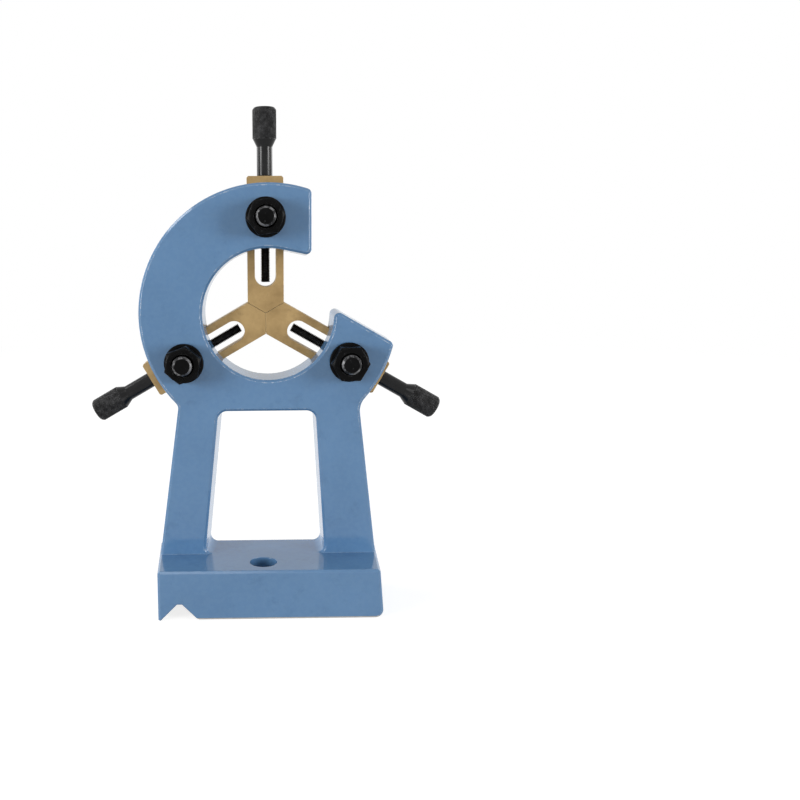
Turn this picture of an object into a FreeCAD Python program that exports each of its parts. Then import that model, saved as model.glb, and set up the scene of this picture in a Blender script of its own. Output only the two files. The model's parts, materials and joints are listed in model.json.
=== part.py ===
import FreeCAD, Part
import math
import os

V = FreeCAD.Vector

# Three-jaw steady rest for a small bench lathe, in millimetres.
# X runs to the right, Y away from the nut side and along the lathe bed, Z up.
# The origin is on the axis of the bed clamp hole, in the plane of the underside.

# Work axis, where the lathe's centres line up
WORK_X = 1.5                # to the right of the clamp hole
CENTRE_HEIGHT = 90.0        # above the underside

# Cast ring
RING_FRONT_Y = 7.5          # plane that the front washers bear on
RING_THICKNESS = 13.0
RING_OFFSET = 0.6           # the cast ring stands this much to the right of the work axis
RING_OUTER_R = 39.2         # at the front face
RING_BORE_R = 20.0          # at the front face
DRAFT_DEG = 1.5             # the mould parts at the back face
ARM_END_OFFSET = 13.7       # upper arm's end face, from the top jaw's centre line
ARM_FLAT_DEG = 12.0         # past the top of the bore, where the arm's underside runs on straight
HORN_END_OFFSET = 11.6      # lower horn's end face, from the right jaw's centre line
MOUTH_CORNER_R = 1.6
CAST_EDGE = 0.7             # broken edges round the front of the casting
NECK_FILLET_LEFT = 2.5
NECK_FILLET_RIGHT = 6.0

# Legs and the window between them; widths are measured from the work axis
NECK_DROP = 30.0            # from the work axis down to the neck
LEG_TOP_HALF = 28.0         # half width across the legs at the neck, from the ring's centre
LEG_ROOT = 2.0              # the legs are one with the base from this far below its top
LEG_SETBACK = 0.4           # legs stand this far inside the sides of the base
LEG_TOE_STEP = 0.9          # the base is this much narrower at its front than under the legs
RING_FLOOR = 9.5            # metal between the bore and the window
WINDOW_TOP_HALF = 15.0
WINDOW_LEFT_BOTTOM = 19.7
WINDOW_RIGHT_BOTTOM = 17.8
WINDOW_LEFT_DRAFT_DEG = 4.5 # the window's left side leans in more than the rest of the mould
WINDOW_TOP_R = 3.1
WINDOW_BOTTOM_R = 2.4

# Base
BASE_HEIGHT = 15.1
BASE_TOE = 15.2             # in front of the ring's front face
BASE_LEFT = 33.1            # from the work axis to the left side at the toe
BASE_RIGHT = 33.2           # the same to the right, at the top
BASE_RIGHT_FLARE = 1.2      # the right side leans out by this much towards its foot
BASE_HEEL_R = 2.4           # rounded lower right corner

# Vee that sits on the bed's guide
VEE_OFFSET = 26.7           # from the work axis, to the left
VEE_DEPTH = 5.0
VEE_FLAT = 1.5
VEE_ANGLE = 90.0

# Bed clamp hole
CLAMP_HOLE_R = 4.2

# Jaws
TOP_JAW_ANGLE = 90.0
LEFT_JAW_ANGLE = 210.0
RIGHT_JAW_ANGLE = 330.0
JAW_WIDTH = 11.2
JAW_THICKNESS = 8.0
JAW_STAND_OUT = 2.5         # closed jaws reach this far out of the ring
JAW_TIP_ANGLE = 120.0
JAW_TIP_GAP = 0.1           # between the faces of neighbouring tips when the jaws are closed
JAW_CHAMFER = 0.5
SLOT_WIDTH = 6.6
SLOT_NOSE = 8.1             # solid bronze between the tip and the slot
SLOT_HEEL = 5.0             # solid bronze outside the slot, which holds the screw's journal
GUIDE_FLOOR = 8.0           # from the ring's front face to the floor of the guides
GUIDE_CLEARANCE = 0.1       # on each side of a jaw in its guide

# Adjusting screws
SCREW_R = 1.45
JOURNAL_CLEARANCE = 0.06
SHOULDER_PLAY = 0.05
SHANK_R = 2.4
SHANK_LENGTH = 9.0
KNOB_R = 3.7
KNOB_LENGTH = 9.4
KNOB_TAPER = 2.3
KNOB_CHAMFER = 0.6
SCREW_TIP_FROM_NOSE = 1.35  # screw tip, outward from the slot's inner end

# Retaining clips, one in a groove of each adjusting screw
CLIP_OUTER_R = 2.95
CLIP_THICKNESS = 0.6
CLIP_GROOVE_R = 1.1
CLIP_GROOVE_PLAY = 0.05
CLIP_RIM = 0.75
CLIP_MOUTH = 2.0
CLIP_LOBE = 1.0

# Clamp bolts, their nuts and washers (M6)
BOLT_INSET = 0.6            # nearer to the bore than the middle of the ring's wall
BOLT_R = 2.95
BOLT_HOLE_R = 3.2
BOLT_HEAD_HEIGHT = 4.0
BOLT_STAND_OUT = 1.8        # bolt end beyond the nut
BOLT_END_CHAMFER = 0.6
CROSS_HOLE_CLEARANCE = 0.06
HEX_SIDES = 6
HEX_AF = 10.0
NUT_HEIGHT = 5.0
NUT_BORE_CLEARANCE = 0.06
WASHER_OUTER_R = 6.0
WASHER_THICKNESS = 1.6
WASHER_BORE_R = 3.2
TOP_NUT_ANGLE = 8.0         # how each nut happens to be turned
LEFT_NUT_ANGLE = 20.0
RIGHT_NUT_ANGLE = 0.0

# Derived places
JAW_ANGLES = {"top": TOP_JAW_ANGLE, "left": LEFT_JAW_ANGLE, "right": RIGHT_JAW_ANGLE}
NUT_ANGLES = {"top": TOP_NUT_ANGLE, "left": LEFT_NUT_ANGLE, "right": RIGHT_NUT_ANGLE}
RING_X = WORK_X + RING_OFFSET
RING_BACK_Y = RING_FRONT_Y + RING_THICKNESS
BASE_FRONT_Y = RING_FRONT_Y - BASE_TOE
DRAFT = math.tan(math.radians(DRAFT_DEG))
JAW_TIP_R = JAW_TIP_GAP / (2 * math.sin(math.radians(JAW_TIP_ANGLE / 2)))
JAW_END_R = RING_OUTER_R + JAW_STAND_OUT
JAW_FRONT_Y = RING_FRONT_Y + GUIDE_FLOOR
JAW_BACK_Y = JAW_FRONT_Y + JAW_THICKNESS
JAW_MID_Y = (JAW_FRONT_Y + JAW_BACK_Y) / 2
SLOT_INNER_R = JAW_TIP_R + SLOT_NOSE
SLOT_OUTER_R = JAW_END_R - SLOT_HEEL
SCREW_TIP_R = SLOT_INNER_R + SCREW_TIP_FROM_NOSE
BOLT_CIRCLE_R = (RING_OUTER_R + RING_BORE_R) / 2 - BOLT_INSET
NECK_Z = CENTRE_HEIGHT - NECK_DROP
WINDOW_TOP_Z = CENTRE_HEIGHT - RING_BORE_R - RING_FLOOR
REACH = 2 * (RING_OUTER_R + ARM_END_OFFSET)    # longer than any cutter has to be
TOUCH = 1e-4                # edges this near a plane lie in it


# ---------------------------------------------------------------- helpers

def swing(shape, angle):
    """Turns a shape built upright about the work axis to its place at this angle."""
    shape.rotate(V(0, 0, 0), V(0, 1, 0), 90.0 - angle)
    shape.translate(V(WORK_X, 0, CENTRE_HEIGHT))
    return shape


def inset(corners, distance):
    """Moves each side of a convex anticlockwise polygon inwards by this distance."""
    moved = []
    count = len(corners)
    for i in range(count):
        before = corners[i - 1]
        here = corners[i]
        after = corners[(i + 1) % count]
        d1 = unit(before, here)
        d2 = unit(here, after)
        n1 = (-d1[1], d1[0])
        n2 = (-d2[1], d2[0])
        share = distance / (1 + n1[0] * n2[0] + n1[1] * n2[1])
        moved.append((here[0] + share * (n1[0] + n2[0]), here[1] + share * (n1[1] + n2[1])))
    return moved


def unit(start, end):
    length = math.hypot(end[0] - start[0], end[1] - start[1])
    return ((end[0] - start[0]) / length, (end[1] - start[1]) / length)


def skin_prism(front, back, y_front, y_back):
    """Solid with flat sides between two polygons of (x, z) corners in planes of constant Y."""
    near = [V(x, y_front, z) for x, z in front]
    far = [V(x, y_back, z) for x, z in back]
    faces = [Part.Face(Part.makePolygon(near + near[:1])), Part.Face(Part.makePolygon(far + far[:1]))]
    for i in range(len(near)):
        j = (i + 1) % len(near)
        faces.append(Part.Face(Part.makePolygon([near[i], near[j], far[j], far[i], near[i]])))
    solid = Part.Solid(Part.Shell(faces))
    if solid.Volume < 0:
        solid.reverse()
    return solid


def disc(radius_front, radius_back, y_front, y_back, centre_x=0.0, centre_z=0.0):
    """Round or conical block with its axis along Y."""
    base = V(centre_x, y_front, centre_z)
    depth = y_back - y_front
    if radius_front == radius_back:
        return Part.makeCylinder(radius_front, depth, base, V(0, 1, 0))
    return Part.makeCone(radius_front, radius_back, depth, base, V(0, 1, 0))


def edges_along_y(shape, wanted):
    """Edges that run from front to back and whose front end satisfies wanted(x, z)."""
    picked = []
    for edge in shape.Edges:
        if len(edge.Vertexes) != 2:
            continue
        ends = sorted((v.Point for v in edge.Vertexes), key=lambda p: p.y)
        if ends[1].y - ends[0].y > RING_THICKNESS / 2 and wanted(ends[0].x, ends[0].z):
            picked.append(edge)
    return picked


def edges_in_plane_y(shape, y):
    """Edges that lie in the plane at this Y."""
    return [e for e in shape.Edges if abs(e.BoundBox.YMin - y) < TOUCH and abs(e.BoundBox.YMax - y) < TOUCH]


# ---------------------------------------------------------------- casting

def leg_side(neck_x, foot_x, z):
    """Outer side of a leg at the front face and at this height, on a straight line from neck to foot."""
    share = (NECK_Z - z) / (NECK_Z - BASE_HEIGHT)
    return neck_x + share * (foot_x - neck_x)


def legs_block():
    """Tapering block that becomes the two legs once the window is cut."""
    left = (RING_X - LEG_TOP_HALF, WORK_X - BASE_LEFT - LEG_TOE_STEP + LEG_SETBACK)
    right = (RING_X + LEG_TOP_HALF, WORK_X + BASE_RIGHT + LEG_TOE_STEP - LEG_SETBACK)
    top = CENTRE_HEIGHT - RING_OUTER_R / 2
    foot = BASE_HEIGHT - LEG_ROOT
    corners = [(leg_side(*left, foot), foot), (leg_side(*right, foot), foot),
               (leg_side(*right, top), top), (leg_side(*left, top), top)]
    return skin_prism(corners, inset(corners, -RING_THICKNESS * DRAFT), RING_FRONT_Y, RING_BACK_Y)


def window_cutter():
    """Window between the legs: wider at the front, flush with the top of the base."""
    bottom = BASE_HEIGHT
    left_slope = (WINDOW_LEFT_BOTTOM - WINDOW_TOP_HALF) / (WINDOW_TOP_Z - bottom)
    right_slope = (WINDOW_RIGHT_BOTTOM - WINDOW_TOP_HALF) / (WINDOW_TOP_Z - bottom)
    taper = RING_THICKNESS * DRAFT
    left_taper = RING_THICKNESS * math.tan(math.radians(WINDOW_LEFT_DRAFT_DEG))

    def corners(shrink, left_shrink):
        top = WINDOW_TOP_Z - shrink
        left_top = WINDOW_TOP_HALF + left_slope * shrink - left_shrink
        right_top = WINDOW_TOP_HALF + right_slope * shrink - shrink
        return [(WORK_X - WINDOW_LEFT_BOTTOM + left_shrink, bottom),
                (WORK_X + WINDOW_RIGHT_BOTTOM - shrink, bottom),
                (WORK_X + right_top, top), (WORK_X - left_top, top)]

    cutter = skin_prism(corners(0.0, 0.0), corners(taper, left_taper), RING_FRONT_Y, RING_BACK_Y)
    middle = (bottom + WINDOW_TOP_Z) / 2
    cutter = cutter.makeFillet(WINDOW_TOP_R, edges_along_y(cutter, lambda x, z: z > middle))
    return cutter.makeFillet(WINDOW_BOTTOM_R, edges_along_y(cutter, lambda x, z: z < middle))


def mouth_cutter():
    """Wedge that opens the ring between the upper arm and the lower horn."""
    horn = math.radians(JAW_ANGLES["right"])
    slope = math.tan(horn)
    lift = HORN_END_OFFSET / math.cos(horn)
    inner = (ARM_END_OFFSET, ARM_END_OFFSET * slope + lift)
    lower = (REACH, REACH * slope + lift)
    corners = [inner, lower, (REACH, REACH), (ARM_END_OFFSET, REACH)]
    corners = [(WORK_X + x, CENTRE_HEIGHT + z) for x, z in corners]
    return skin_prism(corners, inset(corners, RING_THICKNESS * DRAFT), RING_FRONT_Y, RING_BACK_Y)


def arm_cutter():
    """Flattens the arm's underside along a line that leaves the bore without a corner."""
    turn = math.radians(ARM_FLAT_DEG)
    floor = CENTRE_HEIGHT + RING_BORE_R / 2
    end_x = WORK_X + ARM_END_OFFSET + MOUTH_CORNER_R

    def corners(radius):
        start_x = RING_X + radius * math.sin(turn)
        start_z = CENTRE_HEIGHT + radius * math.cos(turn)
        return [(start_x, floor), (end_x, floor), (end_x, start_z - (end_x - start_x) * math.tan(turn)),
                (start_x, start_z)]

    return skin_prism(corners(RING_BORE_R), corners(RING_BORE_R - RING_THICKNESS * DRAFT),
                      RING_FRONT_Y, RING_BACK_Y)


def upright():
    """Ring and legs as cast, with draft, rounded corners and broken edges."""
    taper = RING_THICKNESS * DRAFT
    ring = disc(RING_OUTER_R, RING_OUTER_R + taper, RING_FRONT_Y, RING_BACK_Y, RING_X, CENTRE_HEIGHT)
    body = ring.fuse(legs_block()).removeSplitter()

    # each leg runs out of the ring's rim between its lowest point and the height of the bore's floor
    rim_bottom = CENTRE_HEIGHT - RING_OUTER_R
    neck_top = CENTRE_HEIGHT - RING_BORE_R
    left = edges_along_y(body, lambda x, z: rim_bottom < z < neck_top and x < WORK_X)
    body = body.makeFillet(NECK_FILLET_LEFT, left)
    right = edges_along_y(body, lambda x, z: rim_bottom < z < neck_top and x > WORK_X)
    body = body.makeFillet(NECK_FILLET_RIGHT, right)

    bore = disc(RING_BORE_R, RING_BORE_R - taper, RING_FRONT_Y, RING_BACK_Y, RING_X, CENTRE_HEIGHT)
    body = body.cut(bore).cut(arm_cutter()).cut(mouth_cutter())
    bore_floor = CENTRE_HEIGHT - RING_BORE_R
    corners = edges_along_y(body, lambda x, z: x > WORK_X + RING_BORE_R / 2 and z > bore_floor)
    body = body.makeFillet(MOUTH_CORNER_R, corners)
    body = body.cut(window_cutter())
    return body.makeChamfer(CAST_EDGE, edges_in_plane_y(body, RING_FRONT_Y))


def base_profile(grow):
    """Face of the base in the plane Y = 0; grow widens it sideways towards the back."""
    left = WORK_X - BASE_LEFT - grow
    top_right = WORK_X + BASE_RIGHT + grow
    foot_right = top_right + BASE_RIGHT_FLARE
    vee_half = VEE_FLAT / 2 + VEE_DEPTH * math.tan(math.radians(VEE_ANGLE / 2))
    vee_x = WORK_X - VEE_OFFSET
    return [(left, 0.0), (vee_x - vee_half, 0.0), (vee_x - VEE_FLAT / 2, VEE_DEPTH),
            (vee_x + VEE_FLAT / 2, VEE_DEPTH), (vee_x + vee_half, 0.0), (foot_right, 0.0),
            (top_right, BASE_HEIGHT), (left, BASE_HEIGHT)]


def base_block():
    """Foot of the casting, narrower at its toe, with the bed vee along its underside."""
    depth = RING_BACK_Y - BASE_FRONT_Y
    widening = LEG_TOE_STEP * depth / BASE_TOE
    block = skin_prism(base_profile(0.0), base_profile(widening), BASE_FRONT_Y, RING_BACK_Y)
    heel = edges_along_y(block, lambda x, z: x > WORK_X + BASE_RIGHT and z < BASE_HEIGHT / 2)
    block = block.makeFillet(BASE_HEEL_R, heel)
    top_edges = edges_along_y(block, lambda x, z: z > BASE_HEIGHT - TOUCH)
    front = [e for e in edges_in_plane_y(block, BASE_FRONT_Y) if e.BoundBox.ZMax > BASE_HEIGHT - TOUCH]
    return block.makeChamfer(CAST_EDGE, top_edges + front)


def frame_casting():
    body = upright().fuse(base_block()).removeSplitter()
    for angle in JAW_ANGLES.values():
        width = JAW_WIDTH + 2 * GUIDE_CLEARANCE
        guide = Part.makeBox(width, RING_THICKNESS, REACH, V(-width / 2, JAW_FRONT_Y, 0))
        hole = disc(BOLT_HOLE_R, BOLT_HOLE_R, RING_FRONT_Y, RING_BACK_Y, 0, BOLT_CIRCLE_R)
        body = body.cut(swing(guide, angle)).cut(swing(hole, angle))
    clamp_hole = Part.makeCylinder(CLAMP_HOLE_R, 2 * BASE_HEIGHT, V(0, 0, -BASE_HEIGHT / 2))
    return body.cut(clamp_hole)


# ---------------------------------------------------------------- jaws

def jaw(angle):
    """Bronze finger with a pointed tip and a long slot round the clamp bolt."""
    half = JAW_WIDTH / 2
    shoulder = JAW_TIP_R + half / math.tan(math.radians(JAW_TIP_ANGLE / 2))
    heel = JAW_END_R - JAW_CHAMFER
    outline = [(0, JAW_TIP_R), (half, shoulder), (half, heel), (half - JAW_CHAMFER, JAW_END_R),
               (JAW_CHAMFER - half, JAW_END_R), (-half, heel), (-half, shoulder)]
    body = skin_prism(outline, outline, JAW_FRONT_Y, JAW_BACK_Y)

    nose_z = SLOT_INNER_R + SLOT_WIDTH / 2
    slot_corner = V(-SLOT_WIDTH / 2, JAW_FRONT_Y, nose_z)
    slot = Part.makeBox(SLOT_WIDTH, JAW_THICKNESS, SLOT_OUTER_R - nose_z, slot_corner)
    nose = disc(SLOT_WIDTH / 2, SLOT_WIDTH / 2, JAW_FRONT_Y, JAW_BACK_Y, 0, nose_z)
    journal = Part.makeCylinder(SCREW_R + JOURNAL_CLEARANCE, JAW_END_R - nose_z, V(0, JAW_MID_Y, nose_z))
    return swing(body.cut(slot.fuse(nose)).cut(journal), angle)


def adjusting_screw(angle):
    """Knob, shank and threaded spindle turned from one bar, with a groove for the clip."""
    shoulder = JAW_END_R + SHOULDER_PLAY
    knob = shoulder + SHANK_LENGTH
    straight = knob + KNOB_TAPER
    end = straight + KNOB_LENGTH
    groove_out = SLOT_OUTER_R
    groove_in = groove_out - CLIP_THICKNESS - 2 * CLIP_GROOVE_PLAY
    profile = [(0, SCREW_TIP_R), (SCREW_R, SCREW_TIP_R),
               (SCREW_R, groove_in), (CLIP_GROOVE_R, groove_in), (CLIP_GROOVE_R, groove_out),
               (SCREW_R, groove_out), (SCREW_R, shoulder),
               (SHANK_R, shoulder), (SHANK_R, knob),
               (KNOB_R, straight), (KNOB_R, end - KNOB_CHAMFER), (KNOB_R - KNOB_CHAMFER, end), (0, end)]
    points = [V(r, JAW_MID_Y, z) for r, z in profile]
    turned = Part.Face(Part.makePolygon(points + points[:1]))
    return swing(turned.revolve(V(0, JAW_MID_Y, 0), V(0, 0, 1), 360), angle)


def retaining_clip(angle):
    """E-shaped clip that sits in the screw's groove and bears on the end of the slot."""
    z = SLOT_OUTER_R - CLIP_GROOVE_PLAY - CLIP_THICKNESS
    seat = CLIP_GROOVE_R + CLIP_GROOVE_PLAY
    centre = V(0, JAW_MID_Y, z)
    up = V(0, 0, 1)
    ring = Part.makeCylinder(CLIP_OUTER_R, CLIP_THICKNESS, centre, up)
    ring = ring.cut(Part.makeCylinder(CLIP_OUTER_R - CLIP_RIM, CLIP_THICKNESS, centre, up))
    lobe_length = CLIP_OUTER_R - CLIP_RIM / 2
    for turn in (0.0, 90.0, 180.0):
        lobe = Part.makeBox(lobe_length, CLIP_LOBE, CLIP_THICKNESS, V(0, JAW_MID_Y - CLIP_LOBE / 2, z))
        lobe.rotate(centre, up, turn)
        ring = ring.fuse(lobe)
    ring = ring.cut(Part.makeCylinder(seat, CLIP_THICKNESS, centre, up))
    depth = 2 * CLIP_OUTER_R
    mouth = Part.makeBox(CLIP_MOUTH, depth, CLIP_THICKNESS, V(-CLIP_MOUTH / 2, JAW_MID_Y - depth, z))
    return swing(ring.cut(mouth).removeSplitter(), angle)


# ---------------------------------------------------------------- clamp hardware

def hexagon(y_start, height, turn):
    """Hexagonal block along Y on a clamp bolt's axis; turn is in degrees."""
    corner_r = HEX_AF / 2 / math.cos(math.pi / HEX_SIDES)
    corners = []
    for i in range(HEX_SIDES):
        around = 2 * math.pi * i / HEX_SIDES + math.radians(turn)
        corners.append(V(corner_r * math.cos(around), y_start, BOLT_CIRCLE_R + corner_r * math.sin(around)))
    return Part.Face(Part.makePolygon(corners + corners[:1])).extrude(V(0, height, 0))


def clamp_bolt(angle):
    """Hexagon bolt from the back, cross-drilled and tapped for the adjusting screw."""
    head_y = JAW_BACK_Y + WASHER_THICKNESS
    end_y = RING_FRONT_Y - WASHER_THICKNESS - NUT_HEIGHT - BOLT_STAND_OUT
    chamfer_y = end_y + BOLT_END_CHAMFER
    outline = [(0, end_y), (BOLT_R - BOLT_END_CHAMFER, end_y), (BOLT_R, chamfer_y), (BOLT_R, head_y),
               (0, head_y)]
    points = [V(r, y, BOLT_CIRCLE_R) for r, y in outline]
    shank = Part.Face(Part.makePolygon(points + points[:1])).revolve(V(0, 0, BOLT_CIRCLE_R), V(0, 1, 0), 360)
    body = shank.fuse(hexagon(head_y, BOLT_HEAD_HEIGHT, 0.0))
    cross_start = V(0, JAW_MID_Y, BOLT_CIRCLE_R - 2 * BOLT_R)
    cross = Part.makeCylinder(SCREW_R + CROSS_HOLE_CLEARANCE, 4 * BOLT_R, cross_start)
    return swing(body.cut(cross), angle)


def washer(y, angle):
    ring = disc(WASHER_OUTER_R, WASHER_OUTER_R, y, y + WASHER_THICKNESS, 0, BOLT_CIRCLE_R)
    hole = disc(WASHER_BORE_R, WASHER_BORE_R, y, y + WASHER_THICKNESS, 0, BOLT_CIRCLE_R)
    return swing(ring.cut(hole), angle)


def clamp_nut(angle, turn):
    y = RING_FRONT_Y - WASHER_THICKNESS - NUT_HEIGHT
    hole_r = BOLT_R + NUT_BORE_CLEARANCE
    hole = disc(hole_r, hole_r, y, y + NUT_HEIGHT, 0, BOLT_CIRCLE_R)
    return swing(hexagon(y, NUT_HEIGHT, turn).cut(hole), angle)


# ---------------------------------------------------------------- assembly

def build_parts():
    parts = {"frame_casting": frame_casting()}
    for name, angle in JAW_ANGLES.items():
        parts["jaw_" + name] = jaw(angle)
        parts["adjusting_screw_" + name] = adjusting_screw(angle)
        parts["retaining_clip_" + name] = retaining_clip(angle)
        parts["clamp_bolt_" + name] = clamp_bolt(angle)
        parts["back_washer_" + name] = washer(JAW_BACK_Y, angle)
        parts["front_washer_" + name] = washer(RING_FRONT_Y - WASHER_THICKNESS, angle)
        parts["clamp_nut_" + name] = clamp_nut(angle, NUT_ANGLES[name])
    return parts


os.makedirs("parts", exist_ok=True)
for node, shape in build_parts().items():
    shape.exportStep("parts/" + node + ".step")
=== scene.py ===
import json
import math

import bmesh
import bpy
from mathutils import Matrix, Vector


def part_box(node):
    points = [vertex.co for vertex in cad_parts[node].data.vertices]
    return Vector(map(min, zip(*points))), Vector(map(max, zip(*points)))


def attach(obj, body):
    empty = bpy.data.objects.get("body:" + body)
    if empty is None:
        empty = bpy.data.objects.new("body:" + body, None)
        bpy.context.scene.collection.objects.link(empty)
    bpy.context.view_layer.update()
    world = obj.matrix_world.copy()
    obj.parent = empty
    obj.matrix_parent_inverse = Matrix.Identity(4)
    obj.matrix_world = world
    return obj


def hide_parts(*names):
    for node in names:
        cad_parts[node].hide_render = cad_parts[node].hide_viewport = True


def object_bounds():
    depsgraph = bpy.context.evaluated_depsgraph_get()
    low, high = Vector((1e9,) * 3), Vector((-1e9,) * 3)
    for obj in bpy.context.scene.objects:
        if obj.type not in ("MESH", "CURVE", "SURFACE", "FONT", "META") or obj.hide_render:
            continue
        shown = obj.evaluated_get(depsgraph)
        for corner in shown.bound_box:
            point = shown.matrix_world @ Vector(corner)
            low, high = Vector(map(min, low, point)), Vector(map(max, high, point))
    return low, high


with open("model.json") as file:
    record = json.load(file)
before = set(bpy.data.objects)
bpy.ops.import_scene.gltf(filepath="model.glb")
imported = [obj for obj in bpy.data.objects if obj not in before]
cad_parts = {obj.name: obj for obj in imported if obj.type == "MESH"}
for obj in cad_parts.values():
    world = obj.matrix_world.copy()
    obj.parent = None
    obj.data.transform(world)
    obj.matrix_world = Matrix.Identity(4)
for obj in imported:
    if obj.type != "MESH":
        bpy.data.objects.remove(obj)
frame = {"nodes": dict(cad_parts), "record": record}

cad_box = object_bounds()

# Three-jaw steady rest, in metres; MM turns the millimetres that a fitter would quote into metres.
MM = 0.001

# Adjusting screws
SPINDLE_R = 1.45 * MM
SPINDLE_PITCH = 0.5 * MM
SHANK_R = 2.4 * MM
SHANK_LENGTH = 9.0 * MM
SHANK_EDGE = 0.2 * MM
KNOB_TAPER = 2.3 * MM
KNOB_CHAMFER = 0.6 * MM
KNOB_CROWN = 0.2                # the flat of the knob's end, as a share of its radius
KNURL_COUNT = 34                # diamonds round the knob
KNURL_DEPTH = 0.16 * MM
CLIP_GROOVE_R = 1.1 * MM

# Clamp bolts, nuts and washers (M6)
BOLT_R = 2.95 * MM
BOLT_PITCH = 1.0 * MM
BOLT_CHAMFER = 0.6 * MM
HEX_SIDES = 6
HEX_AF = 10.0 * MM
HEX_FACE_STEP = 0.25 * MM       # the chamfer leaves the end face this far inside the flats
HEX_CHAMFER = math.radians(30)
NUT_BORE_R = 3.01 * MM
NUT_SINK = 0.45 * MM            # countersink round the nut's thread
WASHER_BORE_R = 3.2 * MM
WASHER_EDGE = 0.35 * MM         # rolled outer edge of a stamped washer
SEAT_GAP = 0.02 * MM            # keeps a washer's front face off its neighbour
CROSS_HOLE_R = 1.51 * MM        # tapped hole for the adjusting screw

# Thread form
THREAD_DEPTH = 0.61             # share of the pitch
THREAD_FORM = ((0.0, 0.0), (0.42, 1.0), (0.58, 1.0))    # (place along the pitch, share of the depth)

# How finely the new meshes are made
ROUND_STEPS = 96                # sides of a turned surface
THREAD_STEPS = 32               # sides of a thread
CHAMFER_STEPS = 4               # rings along the chamfer of a hexagon
CORNER_STEPS = 3                # segments in a softened corner
CORNER_ROOM = 2.2               # a softened corner takes at most 1 / 2.2 of each edge beside it
SMOOTH_ANGLE = 35               # degrees; edges sharper than this stay sharp
KNURL_SMOOTH_ANGLE = 22
WELD = 1e-7                     # corners nearer than this, in metres, are one

# Linear colours
ENAMEL = (0.086, 0.192, 0.355, 1.0)
ENAMEL_LIGHT = (0.101, 0.218, 0.393, 1.0)
ENAMEL_MOTTLE = (0.14, 0.27, 0.42, 1.0)
# Darker blotches at random over the enamel
ENAMEL_DARK_BLOTCH = (0.040, 0.105, 0.215, 1.0)
ENAMEL_THIN_AND_GLINT = (0.30, 0.42, 0.56, 1.0)       # along edges, thinner paint that is partly a painted highlight on the ring's edges
# Chipped paint showing bright iron, partly a painted glint along the ring's edges
ENAMEL_CHIP_AND_GLINT = (0.70, 0.74, 0.78, 1.0)
IRON = (0.30, 0.29, 0.28, 1.0)
IRON_LIGHT = (0.46, 0.45, 0.43, 1.0)
BRONZE_DARK = (0.285, 0.186, 0.076, 1.0)
BRONZE = (0.440, 0.298, 0.130, 1.0)
BRONZE_STAIN = (0.15, 0.10, 0.045, 1.0)
BRONZE_RUBBED = (0.62, 0.46, 0.24, 1.0)
BARE_STEEL_AND_GLINT = (0.38, 0.38, 0.39, 1.0)        # where the black is rubbed off, and a painted highlight along edges
BOLT_END_BLACK = (0.015, 0.015, 0.016, 1.0)
BOLT_END_RUBBED = (0.17, 0.17, 0.175, 1.0)
SPRING = (0.30, 0.30, 0.31, 1.0)
SPRING_LIGHT = (0.44, 0.43, 0.42, 1.0)
WHITE = (1.0, 1.0, 1.0, 1.0)
BLACK = (0.0, 0.0, 0.0, 1.0)
BLUE_CAST = 1.05                            # blacked steel is this much stronger in blue

NOISE_SPAN = (0.3, 0.7)         # most values of a noise lie between these

# Where the casting is chipped, machined or given painted edge highlights
RING_WEAR_AND_GLINT = (50.0 * MM, 66.0 * MM)      # chipped paint and painted edge highlights start above the first height and are full at the second
GUIDE_REACH = 0.14 * MM                 # milled guides end this far beside a jaw
GUIDE_DEPTH = 0.02 * MM                 # and start this far in front of it
VEE_REACH = 0.1 * MM                    # the machined underside ends this far above the vee
FACING_DOWN = 0.6                       # cosine to straight down; steeper faces aren't machined

# Camera, stage and light
CAMERA_LENS = 38.6              # on the default 36 mm sensor
CAMERA_SHIFT = (0.171, -0.030)
CAMERA_PLACE = Vector((-2.5, -251.2, 108.3)) * MM
CAMERA_PITCH = 8.12             # degrees down
CAMERA_YAW = 0.65               # degrees to the right
CAMERA_ROLL = -0.44
CAMERA_RANGE = (0.01, 50.0)     # nearest and farthest distance that it sees
FLOOR_SIZE = 6.0
FLOOR_GREYS = (0.41, 0.43)      # what the floor gives back of the light on it
FLOOR_LIFT = 0.76               # what is added where it is seen, so that a lit floor is white
FLOOR_FADE = (0.30, 0.80)       # shadows end between these distances from the part
SKY_LIGHT = 0.22
SOFT_LIGHTS = {                 # place, size and power
    "left_light": ((-0.82, -0.48, 0.20), 0.45, 6.7),
    "right_light": ((0.86, -0.48, 0.18), 0.45, 6.7),
    "top_light": ((-0.15, -0.55, 0.95), 0.5, 1.4),
    "rim_light": ((-0.75, 0.05, 0.85), 0.30, 1.3),
    "left_back_light": ((-0.90, 0.50, 0.35), 0.6, 3.4),
    "right_back_light": ((0.90, 0.55, 0.35), 0.6, 3.6),
}

PLACES = ("top", "left", "right")

record = frame["record"]
joints = {j["name"]: j for j in record["behaviour"]["joints"]}
mounts = {m["name"]: m for m in record["mounts"]}
work = Vector(mounts["work_axis"]["pos_m"])


def slide_axis(place):
    return Vector(joints[place + "_jaw_slide"]["axis"])


# ---------------------------------------------------------------- meshes

def add_rings(bm, rings, caps=(True, True)):
    """Skin of quads over rings of equally many points, with flat ends where caps says so."""
    loops = [[bm.verts.new(point) for point in ring] for ring in rings]
    count = len(loops[0])
    skin = []
    for low, high in zip(loops, loops[1:]):
        for i in range(count):
            j = (i + 1) % count
            skin.append(bm.faces.new((low[i], low[j], high[j], high[i])))
    if caps[0]:
        bm.faces.new(loops[0][::-1])
    if caps[1]:
        bm.faces.new(loops[-1])
    return skin


def circle(radius, z, steps=ROUND_STEPS):
    turns = [2 * math.pi * i / steps for i in range(steps)]
    return [Vector((radius * math.cos(t), radius * math.sin(t), z)) for t in turns]


def add_turned(bm, profile, caps=(True, True)):
    """Turned surface about local Z through (radius, z) points."""
    return add_rings(bm, [circle(r, z) for r, z in profile], caps)


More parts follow.
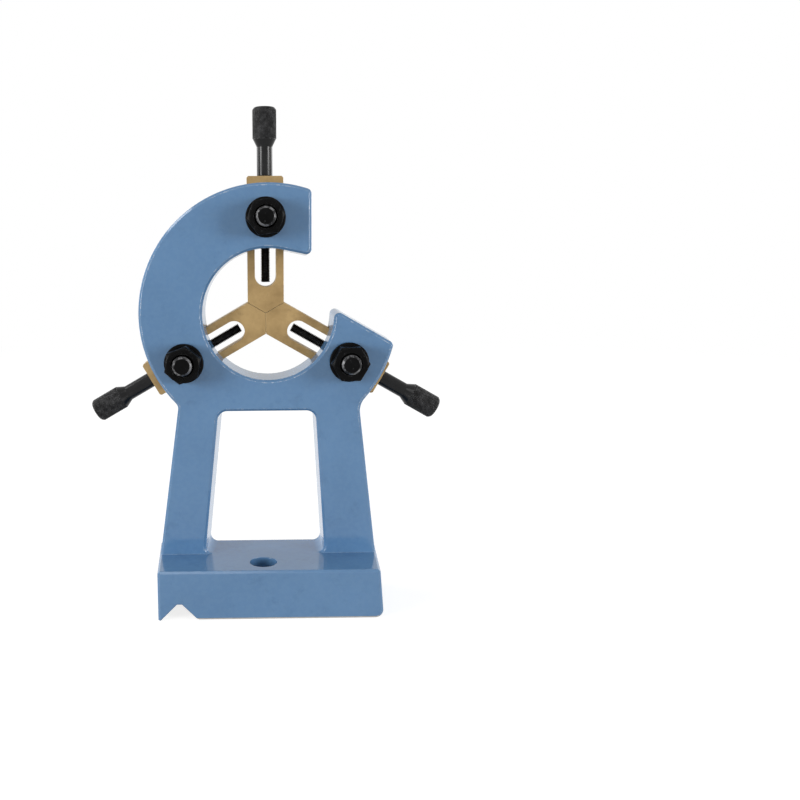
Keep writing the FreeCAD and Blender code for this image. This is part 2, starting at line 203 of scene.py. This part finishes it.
def softened(profile, radius):
    """The same (radius, z) profile with each inner corner rounded off a little."""
    points = [Vector(p) for p in profile]
    out = [points[0]]
    for before, here, after in zip(points, points[1:], points[2:]):
        back = (before - here).normalized() * min(radius, (before - here).length / CORNER_ROOM)
        on = (after - here).normalized() * min(radius, (after - here).length / CORNER_ROOM)
        for k in range(CORNER_STEPS + 1):
            t = k / CORNER_STEPS
            out.append(here + back * (1 - t) ** 2 + on * t ** 2)
    out.append(points[-1])
    return [(p.x, p.y) for p in out]


def add_knurl(bm, radius, start, end):
    """Diamond knurl: valleys and peaks alternate, so each diamond is a small pyramid."""
    columns = 2 * KNURL_COUNT
    step = math.pi * radius / KNURL_COUNT
    rows = max(2, round((end - start) / step))
    loops = []
    for row in range(rows + 1):
        z = start + (end - start) * row / rows
        ring = []
        for column in range(columns):
            peak = (row + column) % 2 == 1 and 0 < row < rows
            r = radius if peak else radius - KNURL_DEPTH
            turn = 2 * math.pi * column / columns
            ring.append(bm.verts.new((r * math.cos(turn), r * math.sin(turn), z)))
        loops.append(ring)
    for row in range(rows):
        for column in range(columns):
            right = (column + 1) % columns
            a, b = loops[row][column], loops[row][right]
            c, d = loops[row + 1][right], loops[row + 1][column]
            if (row + column) % 2 == 0:
                bm.faces.new((a, b, c))
                bm.faces.new((a, c, d))
            else:
                bm.faces.new((a, b, d))
                bm.faces.new((b, c, d))


def add_thread(bm, radius, pitch, start, end):
    """Screw thread from start to end, cut square at both; its crests run round as one helix."""
    depth = THREAD_DEPTH * pitch
    form = len(THREAD_FORM)
    turns = math.ceil((end - start) / pitch) + 1
    rows = form * (turns + 1)
    columns = []
    for i in range(THREAD_STEPS):
        turn = 2 * math.pi * i / THREAD_STEPS
        column = []
        for j in range(rows + 1):
            along, height = THREAD_FORM[j % form]
            z = start + pitch * (j // form - 1 + along + i / THREAD_STEPS)
            r = radius - depth * (1 - height)
            z = min(max(z, start), end)
            column.append(bm.verts.new((r * math.cos(turn), r * math.sin(turn), z)))
        columns.append(column)
    for i in range(THREAD_STEPS):
        here = columns[i]
        last = i == THREAD_STEPS - 1
        beside = columns[0][form:] if last else columns[i + 1]
        for j in range(min(len(here), len(beside)) - 1):
            bm.faces.new((here[j], beside[j], beside[j + 1], here[j + 1]))
    ends = [e for e in bm.edges if e.is_boundary and e.verts[0].co.z == e.verts[1].co.z]
    for level in (start, end):
        rim = [e for e in ends if abs(e.verts[0].co.z - level) < pitch / 100]
        bmesh.ops.holes_fill(bm, edges=rim)


def hex_ring(z, limit, turn):
    """Ring round a hexagon with its corners turned down to the radius limit.

    turn is the angle of one of the corners.
    """
    side = 2 * math.pi / HEX_SIDES
    ring = []
    for step in range(ROUND_STEPS):
        angle = 2 * math.pi * step / ROUND_STEPS
        radius = min(HEX_AF / 2 / math.cos(angle % side - side / 2), limit)
        ring.append(Vector((radius * math.cos(angle + turn), radius * math.sin(angle + turn), z)))
    return ring


def hex_rings(start, end, chamfers, turn):
    """Rings of a hexagonal block along local Z, chamfered at its start, its end or both."""
    corner = HEX_AF / 2 / math.cos(math.pi / HEX_SIDES)
    face = HEX_AF / 2 - HEX_FACE_STEP
    drop = (corner - face) * math.tan(HEX_CHAMFER)
    sloped = [(drop * k / CHAMFER_STEPS, face + (corner - face) * k / CHAMFER_STEPS)
              for k in range(CHAMFER_STEPS + 1)]
    first = sloped if chamfers[0] else [(0.0, corner)]
    last = sloped[::-1] if chamfers[1] else [(0.0, corner)]
    return ([hex_ring(start + z, limit, turn) for z, limit in first]
            + [hex_ring(end - z, limit, turn) for z, limit in last])


def finish_piece(bm, name, matrix, body, node, smooth=SMOOTH_ANGLE):
    """Turns the mesh into a piece in its place that rides on its body and stands for its CAD node."""
    bmesh.ops.remove_doubles(bm, verts=bm.verts, dist=WELD)
    bmesh.ops.recalc_face_normals(bm, faces=bm.faces)
    bm.transform(matrix)
    mesh = bpy.data.meshes.new(name)
    bm.to_mesh(mesh)
    bm.free()
    mesh.shade_smooth()
    mesh.set_sharp_from_angle(angle=math.radians(smooth))
    piece = bpy.data.objects.new(name, mesh)
    bpy.context.scene.collection.objects.link(piece)
    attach(piece, body)
    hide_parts(node)
    return piece


def along(axis, origin, x_hint=Vector((0, 1, 0))):
    """Matrix that stands a piece built along local Z on this axis."""
    z = axis.normalized()
    y = z.cross(x_hint).normalized()
    x = y.cross(z)
    matrix = Matrix((x, y, z)).transposed().to_4x4()
    matrix.translation = origin
    return matrix


# ---------------------------------------------------------------- pieces

def adjusting_screw(place):
    """Knurled knob, glossy shank and threaded spindle, measured outwards from the work axis."""
    low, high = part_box("adjusting_screw_top")
    jaw_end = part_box("jaw_top")[1][2] - work.z
    clip_low, clip_high = (corner[2] - work.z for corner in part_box("retaining_clip_top"))
    tip, end = low[2] - work.z, high[2] - work.z
    knob_r = (high[0] - low[0]) / 2
    knob = jaw_end + SHANK_LENGTH
    straight = knob + KNOB_TAPER

    bm = bmesh.new()
    add_thread(bm, SPINDLE_R, SPINDLE_PITCH, tip, clip_low)
    add_turned(bm, [(CLIP_GROOVE_R, clip_low - SPINDLE_PITCH), (CLIP_GROOVE_R, clip_high),
                    (SPINDLE_R, clip_high), (SPINDLE_R, jaw_end + SHANK_EDGE)])
    shank = [(SPINDLE_R, jaw_end + SHANK_EDGE / 2), (SHANK_R, jaw_end + SHANK_EDGE / 2),
             (SHANK_R, knob), (knob_r - KNURL_DEPTH, straight)]
    for face in add_turned(bm, softened(shank, SHANK_EDGE)):
        face.material_index = 1
    add_knurl(bm, knob_r, straight, end - KNOB_CHAMFER)
    crown = [(knob_r - KNURL_DEPTH, end - KNOB_CHAMFER), (knob_r - KNOB_CHAMFER, end),
             (KNOB_CROWN * knob_r, end)]
    add_turned(bm, softened(crown, KNOB_CHAMFER / 2))
    matrix = along(slide_axis(place), work)
    return finish_piece(bm, "knurled_screw_" + place, matrix, place + "_screw",
                        "adjusting_screw_" + place, smooth=KNURL_SMOOTH_ANGLE)


def bolt_axis(place):
    """Where a clamp bolt's axis crosses the plane Y = 0."""
    low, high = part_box("front_washer_" + place)
    return Vector(((low[0] + high[0]) / 2, 0.0, (low[2] + high[2]) / 2))


def back_and_front(node):
    low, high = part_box(node)
    return low[1], high[1]


def hex_turn(node, place):
    """How far the hexagon of a bolt or nut is turned about its axis, from its outermost corner."""
    centre = bolt_axis(place)
    offsets = [v.co - centre for v in frame["nodes"][node].data.vertices]
    corner = max(offsets, key=lambda d: math.hypot(d.x, d.z))
    return math.atan2(-corner.z, corner.x)


def cross_drilled(shank, matrix, place):
    """Cuts the tapped cross hole for the adjusting screw through the bolt's plain shank."""
    drill = bmesh.new()
    reach = 2 * BOLT_R
    add_rings(drill, [circle(CROSS_HOLE_R, z, THREAD_STEPS) for z in (-reach, reach)])
    centre = bolt_axis(place) + Vector((0, work.y, 0))
    drill.transform(matrix.inverted() @ along(slide_axis(place), centre))
    objects = []
    for bm, name in ((shank, "shank"), (drill, "drill")):
        bmesh.ops.recalc_face_normals(bm, faces=bm.faces)
        mesh = bpy.data.meshes.new(name)
        bm.to_mesh(mesh)
        bm.free()
        objects.append(bpy.data.objects.new(name, mesh))
        bpy.context.scene.collection.objects.link(objects[-1])
    cut = objects[0].modifiers.new("cross hole", "BOOLEAN")
    cut.object = objects[1]
    cut.operation = "DIFFERENCE"
    evaluated = objects[0].evaluated_get(bpy.context.evaluated_depsgraph_get())
    drilled = bmesh.new()
    drilled.from_mesh(evaluated.to_mesh())
    for obj in objects:
        bpy.data.objects.remove(obj)
    return drilled


def clamp_bolt(place):
    """Bolt from the back: hexagon head, drilled shank, and a thread that ends in a bright chamfer."""
    start, end = back_and_front("clamp_bolt_" + place)
    head = back_and_front("back_washer_" + place)[1]
    ring_face = back_and_front("front_washer_" + place)[1]
    matrix = along(Vector((0, 1, 0)), bolt_axis(place), Vector((1, 0, 0)))
    shank = bmesh.new()
    add_turned(shank, [(BOLT_R, ring_face), (BOLT_R, head + BOLT_CHAMFER)])
    bm = cross_drilled(shank, matrix, place)
    for face in add_turned(bm, [(BOLT_R - BOLT_CHAMFER, start), (BOLT_R, start + BOLT_CHAMFER)]):
        face.material_index = 1
    add_thread(bm, BOLT_R, BOLT_PITCH, start + BOLT_CHAMFER, ring_face + BOLT_CHAMFER)
    add_rings(bm, hex_rings(head, end, (False, True), turn=hex_turn("clamp_bolt_" + place, place)))
    return finish_piece(bm, "bolt_" + place, matrix, "frame", "clamp_bolt_" + place)


def clamp_nut(place):
    """Hexagon nut with its front face chamfered and its thread countersunk."""
    start, end = back_and_front("clamp_nut_" + place)
    bm = bmesh.new()
    outside = hex_rings(start, end, (True, False), turn=hex_turn("clamp_nut_" + place, place))
    bore = [(NUT_BORE_R, end), (NUT_BORE_R, start + NUT_SINK), (NUT_BORE_R + NUT_SINK, start)]
    inside = [circle(r, z) for r, z in bore]
    add_rings(bm, outside + inside + outside[:1], caps=(False, False))
    matrix = along(Vector((0, 1, 0)), bolt_axis(place), Vector((1, 0, 0)))
    return finish_piece(bm, "nut_" + place, matrix, place + "_nut",
                        "clamp_nut_" + place)


def washer(node, body, place):
    """Stamped washer with rolled edges."""
    start, end = back_and_front(node)
    start += SEAT_GAP
    low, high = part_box(node)
    outer = (high[0] - low[0]) / 2
    middle = (WASHER_BORE_R, (start + end) / 2)
    profile = [middle, (WASHER_BORE_R, start), (outer, start), (outer, end), (WASHER_BORE_R, end),
               middle]
    bm = bmesh.new()
    add_turned(bm, softened(profile, WASHER_EDGE), caps=(False, False))
    matrix = along(Vector((0, 1, 0)), bolt_axis(place), Vector((1, 0, 0)))
    return finish_piece(bm, "stamped_" + node, matrix, body, node)


# ---------------------------------------------------------------- materials

class Surface:
    """A procedural material and short names for the nodes that it is made of."""

    def __init__(self, name):
        self.material = bpy.data.materials.new(name)
        self.material.use_nodes = True
        self.tree = self.material.node_tree
        self.tree.nodes.clear()
        self.shader = self.tree.nodes.new("ShaderNodeBsdfPrincipled")
        output = self.tree.nodes.new("ShaderNodeOutputMaterial")
        self.tree.links.new(self.shader.outputs[0], output.inputs["Surface"])
        self.place = self.tree.nodes.new("ShaderNodeTexCoord").outputs["Object"]
        self.normal = self.tree.nodes.new("ShaderNodeNewGeometry").outputs["Normal"]

    def node(self, kind, inputs, **settings):
        """Adds a node; each input is a number, a colour or another node's output."""
        node = self.tree.nodes.new(kind)
        for key, value in settings.items():
            setattr(node, key, value)
        for key, value in inputs.items():
            if isinstance(value, bpy.types.NodeSocket):
                self.tree.links.new(value, node.inputs[key])
            else:
                node.inputs[key].default_value = value
        return node

    def set(self, **inputs):
        for key, value in inputs.items():
            socket = self.shader.inputs[key.replace("_", " ")]
            if isinstance(value, bpy.types.NodeSocket):
                self.tree.links.new(value, socket)
            else:
                socket.default_value = value

    def noise(self, scale, detail=3.0, roughness=0.5, stretch=None):
        place = self.place
        if stretch:
            place = self.node("ShaderNodeMapping", {"Vector": place, "Scale": stretch}).outputs[0]
        inputs = {"Vector": place, "Scale": scale, "Detail": detail, "Roughness": roughness}
        return self.node("ShaderNodeTexNoise", inputs).outputs["Fac"]

    def fade(self, value, low, high, start=0.0, end=1.0):
        inputs = {"Value": value, "From Min": low, "From Max": high, "To Min": start, "To Max": end}
        return self.node("ShaderNodeMapRange", inputs).outputs[0]

    def math(self, operation, first, second=0.0):
        return self.node("ShaderNodeMath", {0: first, 1: second}, operation=operation).outputs[0]

    def dot(self, first, second):
        node = self.node("ShaderNodeVectorMath", {0: first, 1: second}, operation="DOT_PRODUCT")
        return node.outputs["Value"]

    def mix(self, share, first, second):
        node = self.node("ShaderNodeMix", {0: share, 6: first, 7: second}, data_type="RGBA")
        return node.outputs[2]

    def rounded(self, radius):
        """Normal of the surface as if its sharp edges had this radius."""
        return self.node("ShaderNodeBevel", {"Radius": radius}, samples=6).outputs[0]

    def edges(self, radius, low, high):
        """1 along sharp edges and 0 on the faces between them."""
        same = self.dot(self.rounded(radius), self.normal)
        return self.fade(self.math("SUBTRACT", 1.0, same), low, high)

    def bump(self, height, distance, normal=None):
        inputs = {"Height": height, "Distance": distance, "Strength": 1.0}
        if normal:
            inputs["Normal"] = normal
        return self.node("ShaderNodeBump", inputs).outputs[0]

    def along(self, direction):
        """How far the shaded point lies along this direction."""
        return self.dot(self.place, direction)


def milled_places(surface):
    """1 where a cutter has taken the casting to bare iron: underside, bed vee and jaw guides."""
    jaw_low, jaw_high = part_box("jaw_top")
    half = (jaw_high[0] - jaw_low[0]) / 2 + GUIDE_REACH
    depth = surface.along((0, 1, 0))
    behind = surface.math("GREATER_THAN", depth, jaw_low[1] - GUIDE_DEPTH)
    bare = None
    for place in PLACES:
        axis = slide_axis(place)
        side = axis.cross(Vector((0, 1, 0)))
        off = surface.math("ABSOLUTE", surface.math("SUBTRACT", surface.along(side), side.dot(work)))
        inside = surface.math("LESS_THAN", off, half)
        outward = surface.math("GREATER_THAN", surface.along(axis), axis.dot(work))
        guide = surface.math("MULTIPLY", surface.math("MULTIPLY", inside, outward), behind)
        bare = guide if bare is None else surface.math("MAXIMUM", bare, guide)
    facing_down = surface.dot(surface.normal, (0, 0, -1))
    vee_top = mounts["bed_vee"]["pos_m"][2] + VEE_REACH
    low = surface.math("LESS_THAN", surface.along((0, 0, 1)), vee_top)
    below = surface.math("MULTIPLY", surface.math("GREATER_THAN", facing_down, FACING_DOWN), low)
    return surface.math("MAXIMUM", bare, below)


def enamel():
    """Glossy blue enamel over cast iron, thinner and chipped along its edges with painted highlights along
    the ring's edges, bare where it is milled.
    """
    edge_band_width, edge_radius, skin_depth = 0.5 * MM, 0.4 * MM, 0.035 * MM
    mottle_share, dark_blotch_share, thin_and_glint_shares = 0.12, 0.35, (0.10, 0.36)
    paint_roughness, worn_and_glint_roughness, iron_metallic = (0.08, 0.16), 0.25, 0.85
    s = Surface("blue_enamel")
    cloud = s.fade(s.noise(55.0, 4.0), *NOISE_SPAN)
    paint = s.mix(cloud, ENAMEL, ENAMEL_LIGHT)
    mottle = s.fade(s.noise(700.0, 3.0), 0.42, 0.58)
    paint = s.mix(s.math("MULTIPLY", mottle, mottle_share), paint, ENAMEL_MOTTLE)
    # Darker blotches at random over the enamel
    dark_blotch = s.fade(s.noise(160.0, 6.0, 0.7), 0.56, 0.76)
    paint = s.mix(s.math("MULTIPLY", dark_blotch, dark_blotch_share), paint, ENAMEL_DARK_BLOTCH)
    # Lighter thinner paint and chipped paint along the ring's edges: real wear, and partly a painted
    # highlight
    rim = s.edges(edge_band_width, 0.01, 0.12)
    upper_wear_and_glint = s.fade(s.along((0, 0, 1)), *RING_WEAR_AND_GLINT)
    thinness_and_glint = s.math("MULTIPLY", rim, s.fade(upper_wear_and_glint, 0.0, 1.0, *thin_and_glint_shares))
    thin_and_glint_colour = s.mix(thinness_and_glint, paint, ENAMEL_THIN_AND_GLINT)
    speck = s.fade(s.noise(520.0, 5.0, 0.6), 0.50, 0.54)
    patch = s.fade(s.noise(110.0, 2.0), 0.43, 0.51)
    chips_and_glints = s.math("MULTIPLY", s.math("MULTIPLY", rim, speck), s.math("MULTIPLY", patch, upper_wear_and_glint))
    milled = milled_places(s)
    cutter = s.noise(900.0, 2.0, 0.5, (1.0, 0.03, 1.0))
    iron = s.mix(cutter, IRON, IRON_LIGHT)
    colour = s.mix(chips_and_glints, thin_and_glint_colour, ENAMEL_CHIP_AND_GLINT)
    colour = s.mix(milled, colour, iron)
    height = s.math("ADD", s.math("MULTIPLY", s.noise(420.0, 2.0), 0.35), s.noise(95.0, 2.0))
    gloss = s.fade(s.noise(300.0, 4.0), *NOISE_SPAN, *paint_roughness)
    # Roughness is raised where paint is chipped, at the painted edge highlights and where the iron is
    # milled
    worn_and_glint = s.math("MAXIMUM", chips_and_glints, milled)
    s.set(Base_Color=colour, Metallic=s.math("MULTIPLY", milled, iron_metallic),
          Roughness=s.math("ADD", gloss, s.math("MULTIPLY", worn_and_glint, worn_and_glint_roughness)),
          Normal=s.bump(height, skin_depth, s.rounded(edge_radius)))
    return s.material


def bronze():
    """Milled bronze gone matt, with cutter lines, darker patches and bright rubbed edges."""
    edge_band_width, edge_radius, skin_depth = 0.25 * MM, 0.15 * MM, 0.02 * MM
    stain_share, rubbed_share = 0.5, 0.45
    metallic, roughness = 0.55, (0.58, 0.42)
    s = Surface("milled_bronze")
    patches = s.fade(s.noise(130.0, 5.0, 0.6), 0.32, 0.68)
    colour = s.mix(patches, BRONZE_DARK, BRONZE)
    stain = s.fade(s.noise(420.0, 6.0, 0.7), 0.60, 0.74)
    colour = s.mix(s.math("MULTIPLY", stain, stain_share), colour, BRONZE_STAIN)
    rim = s.edges(edge_band_width, 0.02, 0.25)
    colour = s.mix(s.math("MULTIPLY", rim, rubbed_share), colour, BRONZE_RUBBED)
    lines = s.noise(2600.0, 3.0, 0.6, (1.0, 0.12, 0.12))
    dents = s.noise(340.0, 4.0, 0.6)
    height = s.math("ADD", s.math("MULTIPLY", lines, 0.4), dents)
    s.set(Base_Color=colour, Metallic=metallic, Roughness=s.fade(patches, 0.0, 1.0, *roughness),
          Normal=s.bump(height, skin_depth, s.rounded(edge_radius)))
    return s.material


def black_oxide(name, skin, sheen, rough, edge_wear_and_glint, grain):
    """Chemically blacked steel.

    skin is its colour, sheen how much it mirrors, rough its lowest roughness, rub how bright its
    edges are where rubbed bare, partly a painted highlight, and grain how fine its texture is.
    """
    edge_band_width, edge_radius, skin_depth = 0.2 * MM, 0.12 * MM, 0.012 * MM
    speck_share, bare_metallic, rough_spread = 0.4, 0.8, 0.12
    s = Surface(name)
    cloud = s.fade(s.noise(240.0, 4.0), 0.35, 0.65)
    dark, light = ((level, level, BLUE_CAST * level, 1.0) for level in (skin, 2 * skin))
    colour = s.mix(cloud, dark, light)
    # Edges rubbed to bare steel, partly a painted highlight along the edges of nuts, washers and knurl
    rim = s.edges(edge_band_width, 0.006, 0.08)
    worn_and_glint = s.math("MULTIPLY", rim, s.fade(s.noise(700.0, 4.0, 0.6), 0.42, 0.62, 0.1, 1.0))
    speck = s.fade(s.noise(1500.0, 3.0, 0.6), 0.66, 0.72)
    bright = s.math("MAXIMUM", s.math("MULTIPLY", worn_and_glint, edge_wear_and_glint), s.math("MULTIPLY", speck, speck_share * edge_wear_and_glint))
    s.set(Base_Color=s.mix(bright, colour, BARE_STEEL_AND_GLINT),
          Metallic=s.math("MULTIPLY", bright, bare_metallic),
          Roughness=s.fade(cloud, 0.0, 1.0, rough, rough + rough_spread), Specular_IOR_Level=sheen,
          Normal=s.bump(s.noise(grain, 3.0), skin_depth, s.rounded(edge_radius)))
    return s.material


def rubbed_steel():
    """Chamfer of a bolt end, rubbed bright in places and still black in others."""
    edge_radius, skin_depth, roughness = 0.1 * MM, 0.01 * MM, (0.45, 0.32)
    s = Surface("rubbed_steel")
    share = s.fade(s.noise(700.0, 3.0, 0.6), 0.44, 0.60)
    s.set(Base_Color=s.mix(share, BOLT_END_BLACK, BOLT_END_RUBBED), Metallic=0.85,
          Roughness=s.fade(share, 0.0, 1.0, *roughness),
          Normal=s.bump(s.noise(1600.0, 2.0), skin_depth, s.rounded(edge_radius)))
    return s.material


def spring_steel():
    """Bright steel with fine lines from rolling."""
    edge_radius, skin_depth, roughness = 0.08 * MM, 0.008 * MM, (0.25, 0.4)
    s = Surface("spring_steel")
    tint = s.fade(s.noise(300.0, 3.0), *NOISE_SPAN)
    s.set(Base_Color=s.mix(tint, SPRING, SPRING_LIGHT), Metallic=0.9,
          Roughness=s.fade(tint, 0.0, 1.0, *roughness),
          Normal=s.bump(s.noise(2200.0, 2.0, 0.5, (1.0, 0.1, 1.0)), skin_depth, s.rounded(edge_radius)))
    return s.material


def dress(obj, *materials):
    """Fills an object's material slots with these materials; the last one fills all that are left."""
    while len(obj.material_slots) < len(materials):
        obj.data.materials.append(None)
    for number, slot in enumerate(obj.material_slots):
        slot.material = materials[min(number, len(materials) - 1)]


# ---------------------------------------------------------------- stage

def seen_directly(tree):
    """1 for camera, mirror and glass rays, and 0 for the light that the object receives."""
    path = tree.nodes.new("ShaderNodeLightPath")
    total = path.outputs["Is Camera Ray"]
    for ray in ("Is Glossy Ray", "Is Transmission Ray"):
        both = tree.nodes.new("ShaderNodeMath")
        both.operation = "MAXIMUM"
        tree.links.new(total, both.inputs[0])
        tree.links.new(path.outputs[ray], both.inputs[1])
        total = both.outputs[0]
    return total


def floor(size, level):
    """Pale floor, white where it is lit, that keeps the part's shadow and fades into the white beyond."""
    mesh = bpy.data.meshes.new("floor")
    half = size / 2
    corners = [(-half, -half, level), (half, -half, level), (half, half, level), (-half, half, level)]
    mesh.from_pydata(corners, [], [(0, 1, 2, 3)])
    plane = bpy.data.objects.new("floor", mesh)
    bpy.context.scene.collection.objects.link(plane)
    surface = Surface("floor")
    length = surface.node("ShaderNodeVectorMath", {0: surface.place}, operation="LENGTH")
    seen = seen_directly(surface.tree)
    far = surface.math("MULTIPLY", surface.fade(length.outputs["Value"], *FLOOR_FADE), seen)
    grain = surface.fade(surface.noise(30.0, 3.0), *NOISE_SPAN, *FLOOR_GREYS)
    channels = {"Red": grain, "Green": grain, "Blue": grain}
    grey = surface.node("ShaderNodeCombineColor", channels).outputs[0]
    lift = surface.math("MULTIPLY", seen, FLOOR_LIFT)
    glow = surface.math("ADD", lift, surface.math("MULTIPLY", far, 1.0 - FLOOR_LIFT))
    surface.set(Base_Color=surface.mix(far, grey, BLACK), Roughness=0.9, Specular_IOR_Level=0.0,
                Emission_Color=WHITE, Emission_Strength=glow)
    mesh.materials.append(surface.material)


def sky():
    """Even soft light, white where it is seen directly or mirrored."""
    world = bpy.data.worlds.new("studio")
    bpy.context.scene.world = world
    world.use_nodes = True
    tree = world.node_tree
    strength = tree.nodes.new("ShaderNodeMapRange")
    strength.inputs["To Min"].default_value = SKY_LIGHT
    strength.inputs["To Max"].default_value = 1.0
    tree.links.new(seen_directly(tree), strength.inputs["Value"])
    tree.nodes["Background"].inputs["Color"].default_value = WHITE
    tree.links.new(strength.outputs[0], tree.nodes["Background"].inputs["Strength"])


def soft_light(name, position, size, power):
    """Round lamp that faces the work axis."""
    light = bpy.data.lights.new(name, "AREA")
    light.shape = "DISK"
    light.size = size
    light.energy = power
    lamp = bpy.data.objects.new(name, light)
    lamp.location = position
    lamp.rotation_euler = (work - Vector(position)).to_track_quat("-Z", "Y").to_euler()
    bpy.context.scene.collection.objects.link(lamp)


def camera():
    """Camera on the side of the nuts, above the work axis and pitched down at it."""
    data = bpy.data.cameras.new("camera")
    data.lens = CAMERA_LENS
    data.shift_x, data.shift_y = CAMERA_SHIFT
    data.clip_start, data.clip_end = CAMERA_RANGE
    pitch, yaw, roll = (math.radians(a) for a in (CAMERA_PITCH, CAMERA_YAW, CAMERA_ROLL))
    ahead = Vector((math.sin(yaw) * math.cos(pitch), math.cos(yaw) * math.cos(pitch),
                    -math.sin(pitch)))
    right = ahead.cross(Vector((0, 0, 1))).normalized()
    up = right.cross(ahead)
    right, up = (right * math.cos(roll) + up * math.sin(roll),
                 up * math.cos(roll) - right * math.sin(roll))
    obj = bpy.data.objects.new("camera", data)
    matrix = Matrix((right, up, -ahead)).transposed().to_4x4()
    matrix.translation = CAMERA_PLACE
    obj.matrix_world = matrix
    bpy.context.scene.collection.objects.link(obj)
    bpy.context.scene.camera = obj


# ---------------------------------------------------------------- the scene

finishes = {
    "blue_paint": enamel(),
    "bronze": bronze(),
    "knob": black_oxide("blacked_screw", 0.005, 0.12, 0.22, 0.16, 900.0),
    "shank": black_oxide("blacked_shank", 0.005, 0.22, 0.16, 0.16, 900.0),
    "fastener": black_oxide("blacked_fastener", 0.002, 0.05, 0.24, 0.30, 700.0),
    "rubbed": rubbed_steel(),
    "spring_steel": spring_steel(),
}

kept_nodes = {"frame_casting": "blue_paint", "jaw": "bronze", "retaining_clip": "spring_steel"}
for name, obj in frame["nodes"].items():
    for start, finish in kept_nodes.items():
        if name.startswith(start):
            dress(obj, finishes[finish])

for place in PLACES:
    dress(adjusting_screw(place), finishes["knob"], finishes["shank"])
    dress(clamp_bolt(place), finishes["fastener"], finishes["rubbed"])
    dress(clamp_nut(place), finishes["fastener"])
    dress(washer("back_washer_" + place, "frame", place), finishes["fastener"])
    dress(washer("front_washer_" + place, place + "_washer", place), finishes["fastener"])

floor(FLOOR_SIZE, cad_box[0][2])
sky()
for name, (position, size, power) in SOFT_LIGHTS.items():
    soft_light(name, position, size, power)
camera()

bpy.context.scene.view_settings.view_transform = "Standard"
